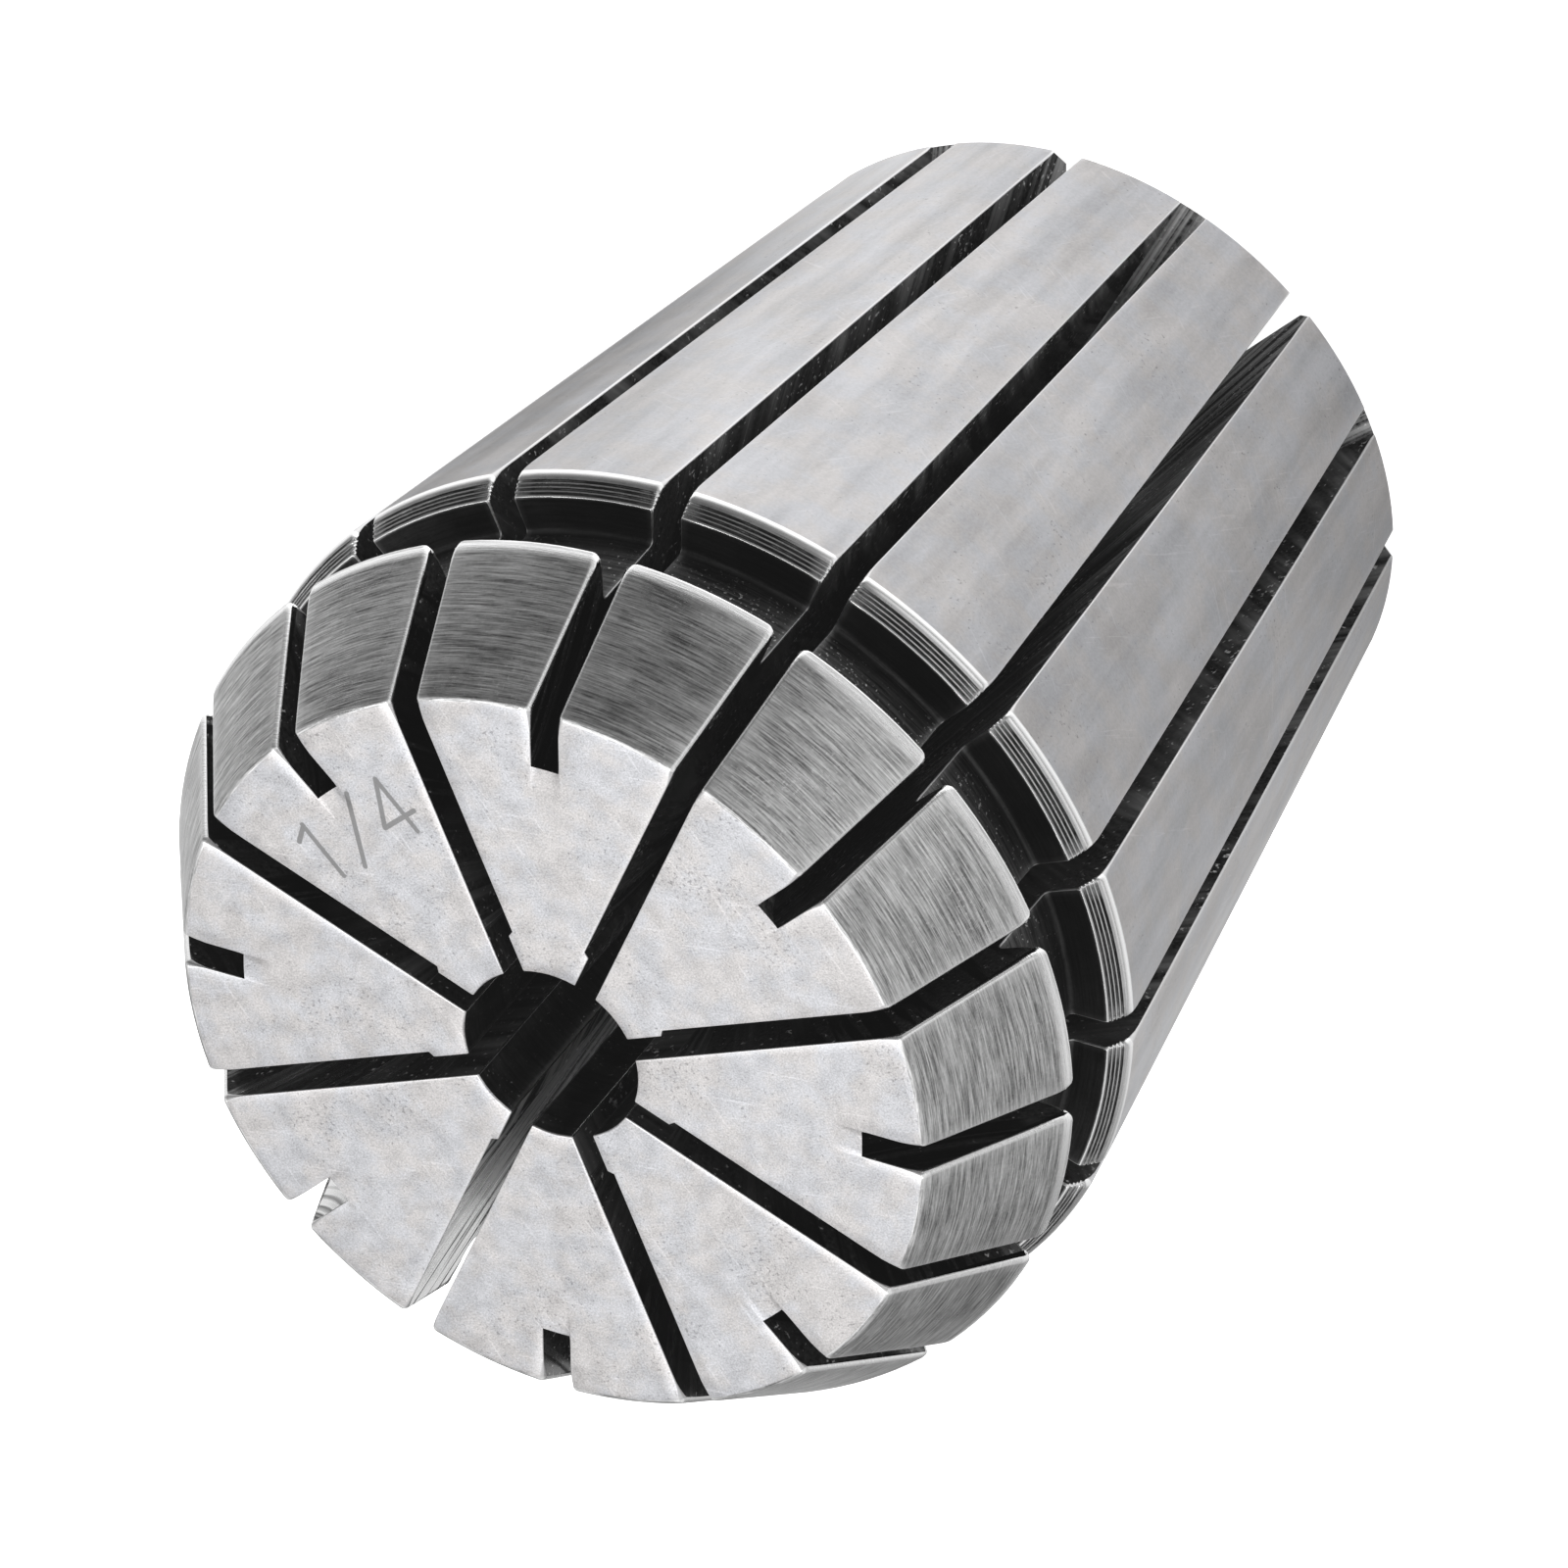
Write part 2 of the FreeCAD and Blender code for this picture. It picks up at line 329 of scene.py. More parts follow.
# Bore size on the front face, in plain strokes: place across and up from the mark's centre, in mm
markSettings = {
    "centre": (-3.47, 9.16), "halfWidth": 0.105, "shade": 0.17, "amount": 0.85,
    "strokes": [((-2.13, -1.12), (-2.13, 1.05)), ((-2.72, 0.62), (-2.13, 1.0)),
                ((-1.12, -1.22), (0.3, 1.18)),
                ((1.7, -1.1), (1.7, 1.1)), ((1.7, 1.1), (0.66, -0.46)), ((0.66, -0.46), (2.15, -0.46))],
}

# Turned and ground finishes. dark and light: greys of the steel; lean: whether the lines follow each other
# along the radius or the axis; lines: cycles per mm along and across them; shares: how much lines, clouds
# and grain each move the grey; scratches: share on the flat face, direction; bump: depth of the lines.
# Sawn finishes. streak: grey of the bright marks; arcs, aside, along: cycles per mm of the marks; shine and
# reflectionMarkLift: how bright a painted reflection makes the marks and how much it raises them, in the
# slots that face one azimuth
steelFinish = {
    "face": {"name": "ground front face", "dark": 0.315, "light": 0.605, "roughness": (0.30, 0.40),
             "lean": (1.0, 0.0), "lines": (0.5, 5.0), "shares": (0.10, 0.28, 0.62), "cloudScale": 1.2,
             "grainScale": 15.0, "dots": 0.56, "tint": 1.0, "edgeShine": 0.5,
             "scratches": ((1.0, 15.0), (1.0, 74.0)), "mark": markSettings, "bump": 0.08, "seed": 1.0},
    "nose": {"name": "turned nose", "dark": 0.11, "light": 0.85, "roughness": (0.26, 0.40),
             "lean": (0.5, -0.866), "lines": (0.6, 15.0), "shares": (0.74, 0.16, 0.10), "cloudScale": 0.3,
             "dots": 0.2, "glints": 0.3, "bump": 0.6, "seed": 2.0},
    "groove": {"name": "turned groove", "dark": 0.006, "light": 0.11, "roughness": (0.35, 0.5),
               "lean": (0.0, 1.0), "lines": (0.35, 9.0), "shares": (0.8, 0.1, 0.1), "cloudScale": 0.5,
               "dots": 0.3, "glints": 0.6, "bump": 0.8, "seed": 3.0},
    # the groove's walls are near black: painted shade of the groove's hollow
    "grooveWall": {"name": "dark groove wall", "dark": 0.008, "light": 0.06, "roughness": (0.35, 0.5),
                   "lean": (1.0, 0.0), "lines": (0.35, 8.0), "shares": (0.6, 0.2, 0.2), "cloudScale": 0.5,
                   "dots": 0.3, "bump": 0.5, "seed": 3.5},
    "band": {"name": "ridged band", "dark": 0.02, "light": 0.42, "roughness": (0.28, 0.42),
             "lean": (0.6, 0.8), "lines": (0.7, 13.0), "shares": (0.6, 0.2, 0.2), "cloudScale": 1.4,
             "dots": 0.5, "bump": 0.6, "seed": 4.0},
    "taper": {"name": "ground taper", "dark": 0.32, "light": 0.51, "roughness": (0.28, 0.36),
              "lean": (0.0, 1.0), "lines": (0.3, 7.0), "shares": (0.08, 0.22, 0.24), "bands": 0.55,
              "cloudScale": 0.7, "dots": 0.40, "tint": 1.0, "scratches": ((0.0, 32.0), (0.0, 118.0)),
              "bump": 0.08, "seed": 5.0},
    "rear": {"name": "turned rear face", "dark": 0.42, "light": 0.60, "roughness": (0.28, 0.40),
             "lean": (1.0, 0.0), "lines": (0.4, 7.0), "shares": (0.4, 0.3, 0.3), "cloudScale": 0.4,
             "dots": 0.3, "bump": 0.3, "seed": 6.0},
    "bore": {"name": "honed bore", "dark": 0.006, "light": 0.14, "roughness": (0.35, 0.5),
             "lean": (0.0, 1.0), "lines": (0.4, 6.0), "shares": (0.5, 0.3, 0.2), "cloudScale": 0.8,
             "dots": 0.3, "glints": 0.7, "bump": 0.3, "seed": 7.0},
    "wall": {"name": "sawn slot wall", "dark": 0.006, "light": 0.05, "streak": 0.26,
             "roughness": (0.16, 0.30), "arcs": 0.7, "aside": 0.0, "along": 0.05, "bump": 0.35,
             "shine": 1.0, "reflectionMarkLift": 0.055, "seed": 8.0},
    "floor": {"name": "sawn slot floor", "dark": 0.02, "light": 0.20, "streak": 0.60,
              "roughness": (0.38, 0.5), "arcs": 0.0, "aside": 4.0, "along": 0.3, "bump": 0.8,
              "shine": 0.2, "reflectionMarkLift": 0.0, "seed": 9.0},
}

# What the turned finishes share; a pair is where an effect starts and where it is full
turnedSettings = {
    "grainScale": 9.0, "grainRelief": 0.3, "dotScale": 7.0, "dotAmount": 0.5, "dotShade": 0.35,
    "hairAmount": 0.3, "glintScale": 8.0, "glints": 0.5, "tintScale": 0.6, "tintClouds": (0.42, 0.58),
    "warm": (1.015, 0.985, 0.980, 1.0), "cool": (0.980, 0.985, 1.025, 1.0),
    "rubAndSheenRange": (0.1, 0.9), "rubAndSheenAmount": 0.95, "rubAndSheenGrey": 1.0, "rubbedRoughness": 0.22,
    "lineShadeRange": (-0.1, -0.9), "lineShadeClouds": (0.35, 0.6), "lineShadeAmounts": (0.6, 0.97), "lineShadeGrey": 0.015,
    "roughClouds": (0.36, 0.64), "bumpDistance": 0.00002,
}

# What the sawn finishes share; marks and patches as shares, inner and forward in mm
sawnSettings = {
    "grainScale": 6.0, "patchScale": 0.35, "dotScale": 5.0, "dots": 0.5, "dotShade": 0.8,
    "brightMarks": (0.44, 0.62), "brightPatches": (0.38, 0.55), "brightLeast": 0.35,
    "inner": (10.0, 4.0), "innerShade": 0.4, "reflectionAzimuth": 217, "reflectionPointing": (0.86, 0.99),
    "forwardSlope": 0.93, "reflectionLift": (43.0, 48.0), "opened": (40.4, 46.0), "shiningMarks": (0.43, 0.51),
    "shineLeast": 0.3, "shineShade": 0.95, "bareMarks": (0.42, 0.50), "bareLeast": 0.12, "bareInside": 0.32,
    "roughMarks": (0.3, 0.7), "bumpDistance": 0.00012,
}


# Noise keeps near its middle, so it is spread to 0..1 before it is shared out
def spread(tree, noise, low=0.36, high=0.64):
    return mapRange(tree, noise, low, high)


def turnedSteel(finish):
    shared = turnedSettings
    material, tree, shader = newMaterial(finish["name"])
    radialShare, axialShare = finish["lean"]
    along, across = finish["lines"]
    seed = finish["seed"]
    grainScale = finish.get("grainScale", shared["grainScale"])
    lines = groupOutput(tree, turnedLines, {
        "Radial Share": radialShare, "Axial Share": axialShare,
        "Along": along, "Across": across, "Seed": seed}, "Lines")
    clouds = groupOutput(tree, clouding, {"Scale": finish["cloudScale"], "Seed": seed}, "Shade")
    grain = groupOutput(tree, clouding, {"Scale": grainScale, "Seed": seed + 20}, "Shade")
    dots = groupOutput(tree, speckle, {
        "Scale": shared["dotScale"], "Amount": finish["dots"], "Seed": seed}, "Mask")
    level = plus(tree, *(times(tree, spread(tree, source), share)
                         for source, share in zip((lines, clouds, grain), finish["shares"])))
    if "bands" in finish:
        bands = groupOutput(tree, petalBands, {"Seed": seed}, "Bands")
        level = plus(tree, level, times(tree, spread(tree, bands), finish["bands"]))
    for number, (flatShare, direction) in enumerate(finish.get("scratches", ())):
        hairs = groupOutput(tree, hairlines, {
            "Flat Share": flatShare, "Direction": direction, "Seed": seed + 3 * number}, "Mask")
        level = plus(tree, level, times(tree, hairs, shared["hairAmount"]))
    colour = mixColour(tree, level, grey(finish["dark"]), grey(finish["light"]))
    colour = mixColour(tree, times(tree, dots, shared["dotAmount"]), colour,
                       grey(finish["dark"] * shared["dotShade"]))
    if "glints" in finish:
        glints = groupOutput(tree, speckle, {
            "Scale": shared["glintScale"], "Amount": shared["glints"], "Seed": seed + 60}, "Mask")
        colour = mixColour(tree, times(tree, glints, finish["glints"]), colour, grey(1.0))
    if "tint" in finish:
        tints = groupOutput(tree, clouding, {"Scale": shared["tintScale"], "Seed": seed + 40}, "Shade")
        tint = mixColour(tree, mapRange(tree, tints, *shared["tintClouds"]), shared["cool"], shared["warm"])
        colour = mixColour(tree, finish["tint"], colour, tint, "MULTIPLY")
    if "mark" in finish:
        colour = mixColour(tree, boreMark(tree, finish["mark"]), colour, grey(finish["mark"]["shade"]))
    # rounded edges are rubbed bright and get a painted highlight; the band's sunk lines get a painted shade
    sheenShadeLevel = addNode(tree, "ShaderNodeAttribute", attribute_name="wearSheenShade").outputs["Fac"]
    # painted shade: the sunk lines of the band go dark, broken up by the clouds
    lineShade = times(tree, mapRange(tree, sheenShadeLevel, *shared["lineShadeRange"]),
                  mapRange(tree, clouds, *shared["lineShadeClouds"], *shared["lineShadeAmounts"]))
    colour = mixColour(tree, lineShade, colour, grey(shared["lineShadeGrey"]))
    # rubbed wear with a painted highlight: rounded edges go toward white
    rubAndSheen = times(tree, shared["rubAndSheenAmount"] * finish.get("edgeShine", 1.0),
                   mapRange(tree, sheenShadeLevel, *shared["rubAndSheenRange"]))
    colour = mixColour(tree, rubAndSheen, colour, grey(shared["rubAndSheenGrey"]))
    tree.links.new(colour, shader.inputs["Base Color"])
    usual = mapRange(tree, clouds, *shared["roughClouds"], *finish["roughness"])
    roughness = addNode(tree, "ShaderNodeMix", {0: rubAndSheen, 2: usual, 3: shared["rubbedRoughness"]})
    tree.links.new(roughness.outputs[0], shader.inputs["Roughness"])
    relief = plus(tree, lines, times(tree, grain, shared["grainRelief"]))
    tree.links.new(bumpFrom(tree, relief, finish["bump"], shared["bumpDistance"]), shader.inputs["Normal"])
    return material


def boreMark(tree, settings):
    centre = Vector(settings["centre"])
    up = centre.normalized()
    across = Vector((up.y, -up.x))
    mask = 0.0
    for start, end in settings["strokes"]:
        first, last = (centre + across * place[0] + up * place[1] for place in (start, end))
        part = groupOutput(tree, stroke, {
            "Start X": first.x, "Start Y": first.y, "End X": last.x, "End Y": last.y,
            "Half Width": settings["halfWidth"]}, "Mask")
        mask = mathNode(tree, "MAXIMUM", mask, part)
    return times(tree, mask, settings["amount"])


def sawnSteel(finish):
    shared = sawnSettings
    material, tree, shader = newMaterial(finish["name"])
    seed = finish["seed"]
    marks = groupOutput(tree, sawMarks, {
        "Arc Share": finish["arcs"], "Aside Share": finish["aside"], "Along": finish["along"],
        "Seed": seed}, "Marks")
    grain = groupOutput(tree, clouding, {"Scale": shared["grainScale"], "Seed": seed}, "Shade")
    patches = groupOutput(tree, clouding, {"Scale": shared["patchScale"], "Seed": seed + 5}, "Shade")
    dots = groupOutput(tree, speckle, {
        "Scale": shared["dotScale"], "Amount": shared["dots"], "Seed": seed}, "Mask")
    place, _, _, height, radius = colletPlace(tree)
    colour = mixColour(tree, spread(tree, grain), grey(finish["dark"]), grey(finish["light"]))
    bright = times(tree, mapRange(tree, marks, *shared["brightMarks"]),
                   mapRange(tree, patches, *shared["brightPatches"], shared["brightLeast"]))
    colour = mixColour(tree, bright, colour, grey(finish["streak"]))
    colour = mixColour(tree, dots, colour, grey(shared["dotShade"]))
    # painted shade: deeper in the slots, toward the bore, the grey goes darker
    innerShade = mapRange(tree, radius, *shared["inner"], 0.0, shared["innerShade"])
    colour = mixColour(tree, innerShade, colour, grey(finish["dark"]))
    # a painted reflection: in the slots that face one azimuth, the marks are raised and lightened toward
    # the outer front end
    toward = mathNode(tree, "DIVIDE", pointing(tree, place, shared["reflectionAzimuth"]), radius)
    reflectionSide = mapRange(tree, toward, *shared["reflectionPointing"])
    forward = plus(tree, radius, times(tree, height, shared["forwardSlope"]))
    reflectionLift = times(tree, reflectionSide, mapRange(tree, forward, *shared["reflectionLift"], 0.0, finish["reflectionMarkLift"]))
    marks = plus(tree, marks, reflectionLift)
    shining = times(tree, reflectionSide, mapRange(tree, marks, *shared["shiningMarks"]),
                    mapRange(tree, forward, *shared["opened"], shared["shineLeast"], finish["shine"]))
    colour = mixColour(tree, shining, colour, grey(shared["shineShade"]))
    tree.links.new(colour, shader.inputs["Base Color"])
    # between the marks lies dull dirt, which stays dark at a grazing view too
    shader.inputs["Specular IOR Level"].default_value = 0.0
    bare = times(tree, mapRange(tree, marks, *shared["bareMarks"], shared["bareLeast"]),
                 mapRange(tree, forward, *shared["opened"], shared["bareInside"]))
    tree.links.new(bare, shader.inputs["Metallic"])
    tree.links.new(mapRange(tree, marks, *shared["roughMarks"], *finish["roughness"]),
                   shader.inputs["Roughness"])
    tree.links.new(bumpFrom(tree, marks, finish["bump"], shared["bumpDistance"]), shader.inputs["Normal"])
    return material


finishes = {key: sawnSteel(finish) if "arcs" in finish else turnedSteel(finish)
            for key, finish in steelFinish.items()}
finishNames = list(finishes)
print("materials made:", len(finishes))

# The collet: sizes in millimetres, as the CAD part has them, and angles in degrees. bandLines: place down
# the band, share of the depth; lineShape: place across a line, share of the depth, and edge sheen and line
# shade: above 0 rubbed bright with a painted highlight, below 0 painted shade
collet = {
    "length": 40.0, "bodyRadius": 16.5, "bodyTaper": 8.0,
    "noseAngle": 30.0, "noseHeight": 5.2,
    "grooveWidth": 3.65, "grooveDepth": 1.9, "grooveCorner": 0.2,
    "bandHeight": 0.7, "bandDrop": 0.55, "lineDepth": 0.06,
    "bandLines": ((0.12, 0.7), (0.27, 1.0), (0.42, 0.6), (0.57, 1.0)),
    "lineShape": ((-0.055, 0, 0.5), (-0.03, 0.8, -1), (0.0, 1, -1), (0.03, 0.8, -1), (0.055, 0, 0.5)),
    "rearRimHeight": 1.0, "rearRimWidth": 1.05,
    "boreRadius": 3.175, "boreStart": 14.0, "mouthBevel": 0.08,
    "reliefRadius": 5.0, "reliefEnd": 12.903, "reliefCone": 59.0, "reliefRound": 0.15,
    "slotHalf": 0.5, "slotFloor": 4.7, "cutEnd": 4.55, "cutMargin": 0.01, "step": 0.2, "steppedWalls": 4,
    "frontSlotEnd": 18.86, "rearSlotEnd": 23.02, "sawRadius": 25.0, "notchRadius": 11.35,
    "coneOut": 0.09, "faceRimRound": 0.22,
    "noseBack": (16.476, 34.68), "noseTurn": 8.0, "noseTurnRound": 1.0, "noseEdgeRound": 0.16,
    "lipRound": 0.06, "bigEndRound": 0.44, "rearRound": 0.12,
    "sectors": 8, "edgeSteps": 4, "petalColumns": 7, "arcSteps": 10, "innerRows": (3.7, 4.1),
    "mergeDistance": 0.0005, "sharpAngle": 32,
    "edgeRound": {"bore": 0.05, "face": 0.04, "nose": 0.18, "groove": 0.06, "grooveWall": 0.06,
                  "band": 0.08, "taper": 0.07, "rear": 0.06},
    "edgeShine": {"taper": 0.5, "groove": 0.5, "grooveWall": 0.5},
}


def facing(degrees):
    return Vector((math.cos(math.radians(degrees)), math.sin(math.radians(degrees))))


rows = []


def addRow(point, degrees, finish, name=None, wearSheenShade=0.0):
    rows.append({"at": Vector(point), "out": facing(degrees), "finish": finish, "name": name,
                 "wearSheenShade": wearSheenShade})


# Straight stretch of the profile: rows close to its ends and a few between
def addRun(start, end, degrees, finish, nearStart=(), nearEnd=(), between=0):
    start, end = Vector(start), Vector(end)
    reach = (end - start).length
    first = nearStart[-1] if nearStart else 0.0
    last = reach - (nearEnd[-1] if nearEnd else 0.0)
    stations = list(nearStart)
    stations += [first + (last - first) * step / (between + 1) for step in range(1, between + 1)]
    stations += [reach - distance for distance in reversed(nearEnd)]
    for station in stations:
        addRow(start + (end - start) * station / reach, degrees, finish)


# Rounded corner of the profile; hollow is -1 for an inside corner
def addCorner(corner, before, after, radius, steps, finish, hollow=1, wearSheenShade=1.0):
    first, second = facing(before), facing(after)
    centre = Vector(corner) - (first + second) * hollow * radius / (1 + first.dot(second))
    for step in range(steps + 1):
        degrees = before + (after - before) * step / steps
        share = 0.0 if hollow < 0 else 0.4 if step in (0, steps) else 1.0
        addRow(centre + facing(degrees) * hollow * radius, degrees, finish, wearSheenShade=wearSheenShade * share)


def rowNamed(name):
    return next(index for index, row in enumerate(rows) if row["name"] == name)


# Where the line from one point towards another leaves a circle
def meetCircle(start, end, centre, radius):
    start, along = Vector(start), (Vector(end) - Vector(start))
    offset = start - Vector(centre)
    squared, mixed, rest = along.dot(along), 2 * offset.dot(along), offset.dot(offset) - radius * radius
    halfGap = math.sqrt(mixed * mixed - 4 * squared * rest)
    share = next(root for root in ((-mixed - halfGap) / (2 * squared), (-mixed + halfGap) / (2 * squared))
                 if 0 <= root <= 1)
    return start + along * share


def makeProfile():
    size = collet
    length, bore = size["length"], size["boreRadius"]
    noseEdge = length - size["noseHeight"]
    coneSlant = math.tan(math.radians(size["noseAngle"]))
    faceRadius = size["bodyRadius"] - size["noseHeight"] * coneSlant + size["coneOut"]
    grooveWall = noseEdge - size["grooveWidth"]
    grooveRadius = size["bodyRadius"] - size["grooveDepth"]
    lipRadius = size["bodyRadius"] - size["bandDrop"]
    taperTop = grooveWall - size["bandHeight"]
    taperSlant = math.tan(math.radians(size["bodyTaper"]))
    rimRadius = size["bodyRadius"] - (taperTop - size["rearRimHeight"]) * taperSlant
    rearRadius = rimRadius - size["rearRimWidth"]
    relief, reliefEnd = size["reliefRadius"], size["reliefEnd"]
    frontEnd, rearEnd = size["frontSlotEnd"], size["rearSlotEnd"]

    # bore, from its inner end up to the mouth
    addRow((bore, size["boreStart"]), 180, "bore", "boreStart")
    addRun((bore, size["boreStart"]), (bore, frontEnd), 180, "bore", between=2)
    addRow((bore, frontEnd), 180, "bore", "frontEnd")
    addRun((bore, frontEnd), (bore, rearEnd), 180, "bore", (0.15, 0.3), (0.15, 0.3), 1)
    addRow((bore, rearEnd), 180, "bore", "rearEnd")
    addRun((bore, rearEnd), (bore, length - size["mouthBevel"]), 180, "bore", between=6)
    addRow((bore, length - size["mouthBevel"]), 180, "bore")
    for degrees in (157.5, 135, 112.5):
        addRow(Vector((bore, length)) + (facing(degrees) - Vector((-1, 1))) * size["mouthBevel"], degrees,
               "face", wearSheenShade=0.8)
    addRow((bore + size["mouthBevel"], length), 90, "face")

    # front face
    for radius in size["innerRows"]:
        addRow((radius, length), 90, "face")
    addRow((size["cutEnd"], length), 90, "face", "faceCutEnd")
    addRow((size["slotFloor"], length), 90, "face", "faceFloor")
    addRun((size["slotFloor"], length), (size["notchRadius"], length), 90, "face", between=5)
    addRow((size["notchRadius"], length), 90, "face", "notch")
    addRun((size["notchRadius"], length), (faceRadius, length), 90, "face",
           (0.15, 0.3), (0.35, 0.5, 0.8, 1.2))
    # worn dull, so it gets neither the rubbed brightening nor the painted highlight of the other corners
    addCorner((faceRadius, length), 90, size["noseAngle"], size["faceRimRound"], 4, "nose", wearSheenShade=0.0)

    # nose; a soft turn leads to its back edge
    noseBack, turnSlant = Vector(size["noseBack"]), math.tan(math.radians(size["noseTurn"]))
    turnHeight = ((faceRadius + length * coneSlant - noseBack.x - noseBack.y * turnSlant)
                  / (coneSlant - turnSlant))
    noseTurn = Vector((faceRadius + (length - turnHeight) * coneSlant, turnHeight))
    addRun((faceRadius, length), noseTurn, size["noseAngle"], "nose", (0.3, 0.45, 0.8), (0.25, 0.4, 0.7), 4)
    addCorner(noseTurn, size["noseAngle"], size["noseTurn"], size["noseTurnRound"], 3, "nose")
    addCorner(noseBack, size["noseTurn"], -90, size["noseEdgeRound"], 5, "nose")

    # groove
    underNose = noseBack.y
    addRun(noseBack, (grooveRadius, underNose), -90, "grooveWall", (0.4, 0.7), (0.3,))
    addCorner((grooveRadius, underNose), -90, 0, size["grooveCorner"], 3, "grooveWall", -1)
    addRun((grooveRadius, underNose), (grooveRadius, grooveWall), 0, "groove", (0.35,), (0.35,), 1)
    addCorner((grooveRadius, grooveWall), 0, 90, size["grooveCorner"], 3, "grooveWall", -1)
    addRun((grooveRadius, grooveWall), (lipRadius, grooveWall), 90, "grooveWall", (0.3,), (0.1, 0.2))

    # ridged band
    bandFacing = math.degrees(math.atan2(size["bandDrop"], size["bandHeight"]))
    addCorner((lipRadius, grooveWall), 90, bandFacing, size["lipRound"], 3, "band")
    lip, top = Vector((lipRadius, grooveWall)), Vector((size["bodyRadius"], taperTop))
    along = (top - lip).normalized()
    for middle, depth in size["bandLines"]:
        for aside, share, wearSheenShade in size["lineShape"]:
            sunk = facing(bandFacing) * size["lineDepth"] * depth * share
            addRow(lip + along * (middle + aside) - sunk, bandFacing, "band", wearSheenShade=wearSheenShade)
    addCorner(top, bandFacing, -size["bodyTaper"], size["bigEndRound"], 5, "taper")

    # taper, rear rim and rear face
    rim = Vector((rimRadius, size["rearRimHeight"]))
    addRun(top, rim, -size["bodyTaper"], "taper", (0.2, 0.35, 0.6, 1.0), (0.3, 0.6), 12)
    rimFacing = -math.degrees(math.atan2(size["rearRimWidth"], size["rearRimHeight"]))
    addRow(rim, -size["bodyTaper"], "rear", "rim")
    sawCentre = (size["slotFloor"] + size["sawRadius"], frontEnd)
    leave = meetCircle(rim, (rearRadius, 0), sawCentre, size["sawRadius"])
    addRow(leave, rimFacing, "rear", "leave")
    addRun(leave, (rearRadius, 0), rimFacing, "rear", (0.2,), (0.15,))
    addCorner((rearRadius, 0), rimFacing, -90, size["rearRound"], 2, "rear")
    addRun((rearRadius, 0), (relief, 0), -90, "rear", (0.4,), (0.35,), 4)
    addCorner((relief, 0), -90, -180, size["reliefRound"], 3, "rear")

    # relief bore and its cone
    addRun((relief, 0), (relief, reliefEnd), -180, "bore", (0.4,), (0.3,), 4)
    coneFacing = -180 + size["reliefCone"]
    addRow((relief, reliefEnd), -150, "bore")
    coneSlope = (size["boreStart"] - reliefEnd) / (relief - bore)
    for radius, name in ((size["slotFloor"], "coneFloor"), (size["cutEnd"], "coneCutEnd"),
                         (size["innerRows"][0], None)):
        addRow((radius, reliefEnd + (relief - radius) * coneSlope), coneFacing, "bore", name)


makeProfile()
print("profile rows:", len(rows))

# The edges of a petal are rounder at these corners of the profile: place, roundness, reach
cornerRounding = [
    ((13.498, 40.0), 0.22, 0.8),
    ((16.4, 34.7), 0.36, 1.0),
    ((16.5, 30.45), 0.24, 0.8),
    ((15.95, 31.15), 0.12, 0.3),
]


def edgeRoundness(row):
    usual = collet["edgeRound"][row["finish"]]
    roundest = usual
    for corner, roundness, reach in cornerRounding:
        nearness = max(0.0, 1 - (row["at"] - Vector(corner)).length / reach)
        roundest = max(roundest, usual + (roundness - usual) * nearness ** 1.5)
    return roundest


# Rows that lie in a slot's open stretch, with their distance in rows from its ends
def openStretch(firstName, lastName):
    count = len(rows)
    first, last = rowNamed(firstName), rowNamed(lastName)
    span = (last - first) % count
    return {(first + step) % count: min(step, span - step) for step in range(span + 1)}


frontOpen = openStretch("frontEnd", "leave")
rearOpen = openStretch("notch", "rearEnd")
# An edge's rounding grows over the first rows of the open stretch; its rubbed brightening and painted
# highlight are highest halfway round
rampShares = (0.0, 0.6, 1.0)
edgeWearSheen = (0.5, 0.9, 1.0, 0.8, 0.3)

pitchAngle = 2 * math.pi / collet["sectors"]
half = collet["slotHalf"]


def slotPoint(angle, aside, radius, height):
    along = math.sqrt(radius * radius - aside * aside)
    turn = Vector((math.cos(angle), math.sin(angle)))
    side = Vector((-turn.y, turn.x))
    flat = turn * along + side * aside
    return Vector((flat.x, flat.y, height))


# A narrow cut's wall is stepped when its sector's number plus its key, counted round, is under
# steppedWalls. The keys are for the wall after a slot, before it, and before the next sector's slot
wallKeys = {"after": 2, "before": 6, "beforeNext": 7}
noKey = -1
vertices, stepMoves, stepKeys, wearSheenShades = [], [], [], []


def addVertex(position, move=None, key=noKey, wearSheenShade=0.0):
    vertices.append(position * millimetre)
    wearSheenShades.append(wearSheenShade)
    stepMoves.append(move or Vector((0, 0, 0)))
    stepKeys.append(key)
    return len(vertices) - 1


# Point beside a slot; those of the narrow cut carry the move that makes a stepped wall
def addSlotVertex(angle, aside, radius, height, key=noKey, wearSheenShade=0.0):
    position = slotPoint(angle, aside, radius, height)
    move = None
    if key != noKey and radius < collet["cutEnd"] + collet["cutMargin"]:
        closer = aside - math.copysign(collet["step"], aside)
        move = (slotPoint(angle, closer, radius, height) - position) / collet["step"]
    return addVertex(position, move, key if move else noKey, wearSheenShade)


